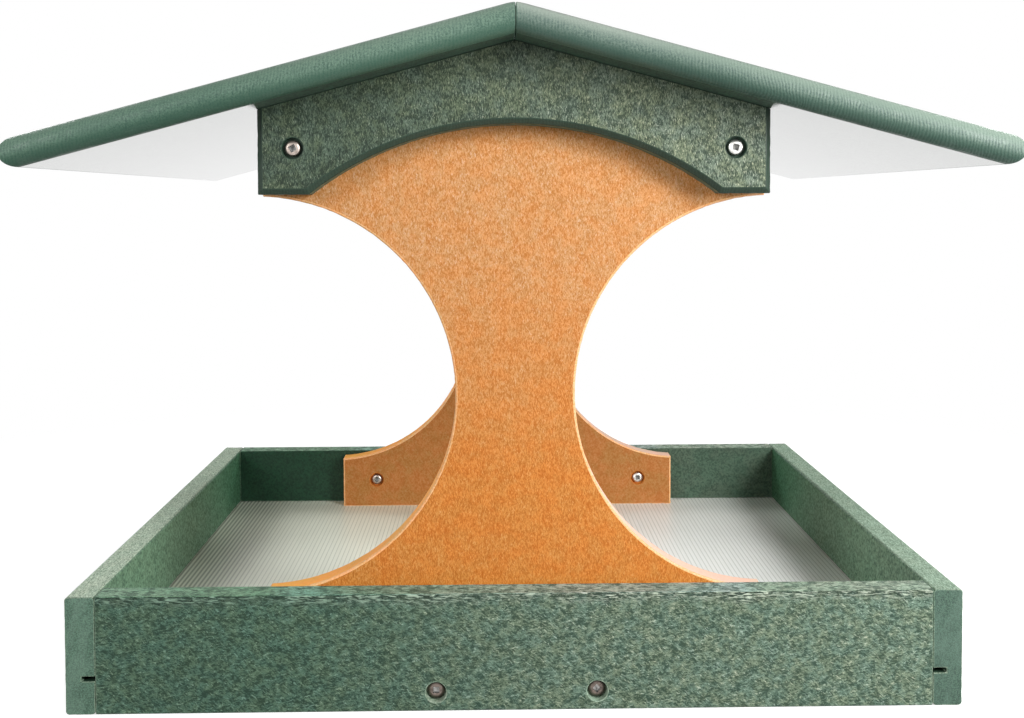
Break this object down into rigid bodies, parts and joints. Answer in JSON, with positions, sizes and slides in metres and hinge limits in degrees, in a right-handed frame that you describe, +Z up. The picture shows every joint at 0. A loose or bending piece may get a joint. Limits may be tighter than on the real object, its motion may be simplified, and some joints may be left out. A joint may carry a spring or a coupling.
{
  "type": "platform bird feeder",
  "caption": "Covered platform bird feeder: shallow tray with fluted floor, hourglass post boards, arched gable fascias and a low pitched bullnosed roof.",
  "frame": {"origin": "bottom centre of the feeder, on the surface that the rails stand on", "axes": "+Z up, +X to the right across the width of the roof, +Y from the front gable to the back gable"},
  "size_m": [0.52, 0.441, 0.3746],
  "materials": {
    "green_board": "fibrous matt recycled plastic",
    "cedar_board": "fibrous matt recycled plastic",
    "fluted_sheet": "satin translucent",
    "screw_steel": "satin stainless"
  },
  "bodies": {
    "root": {"side_rail_left": "green_board", "side_rail_right": "green_board", "front_rail": "green_board", "rear_rail": "green_board", "floor_sheet": "fluted_sheet", "bottom_brace": "green_board", "front_post_board": "cedar_board", "rear_post_board": "cedar_board", "front_gable_fascia": "green_board", "rear_gable_fascia": "green_board", "roof_panel_left": "green_board", "roof_panel_right": "green_board", "gable_screw_front_left": "screw_steel", "gable_screw_front_right": "screw_steel", "gable_screw_rear_left": "screw_steel", "gable_screw_rear_right": "screw_steel", "post_screw_front_left": "screw_steel", "post_screw_front_right": "screw_steel", "post_screw_rear_left": "screw_steel", "post_screw_rear_right": "screw_steel", "brace_screw_front_left": "screw_steel", "brace_screw_front_right": "screw_steel", "brace_screw_rear_left": "screw_steel", "brace_screw_rear_right": "screw_steel", "corner_screw_front_left_lower": "screw_steel", "corner_screw_front_left_upper": "screw_steel", "corner_screw_front_right_lower": "screw_steel", "corner_screw_front_right_upper": "screw_steel", "corner_screw_rear_left_lower": "screw_steel", "corner_screw_rear_left_upper": "screw_steel", "corner_screw_rear_right_lower": "screw_steel", "corner_screw_rear_right_upper": "screw_steel", "roof_screw_front_left_inner": "screw_steel", "roof_screw_front_left_outer": "screw_steel", "roof_screw_front_right_inner": "screw_steel", "roof_screw_front_right_outer": "screw_steel", "roof_screw_rear_left_inner": "screw_steel", "roof_screw_rear_left_outer": "screw_steel", "roof_screw_rear_right_inner": "screw_steel", "roof_screw_rear_right_outer": "screw_steel"}
  },
  "joints": []
}
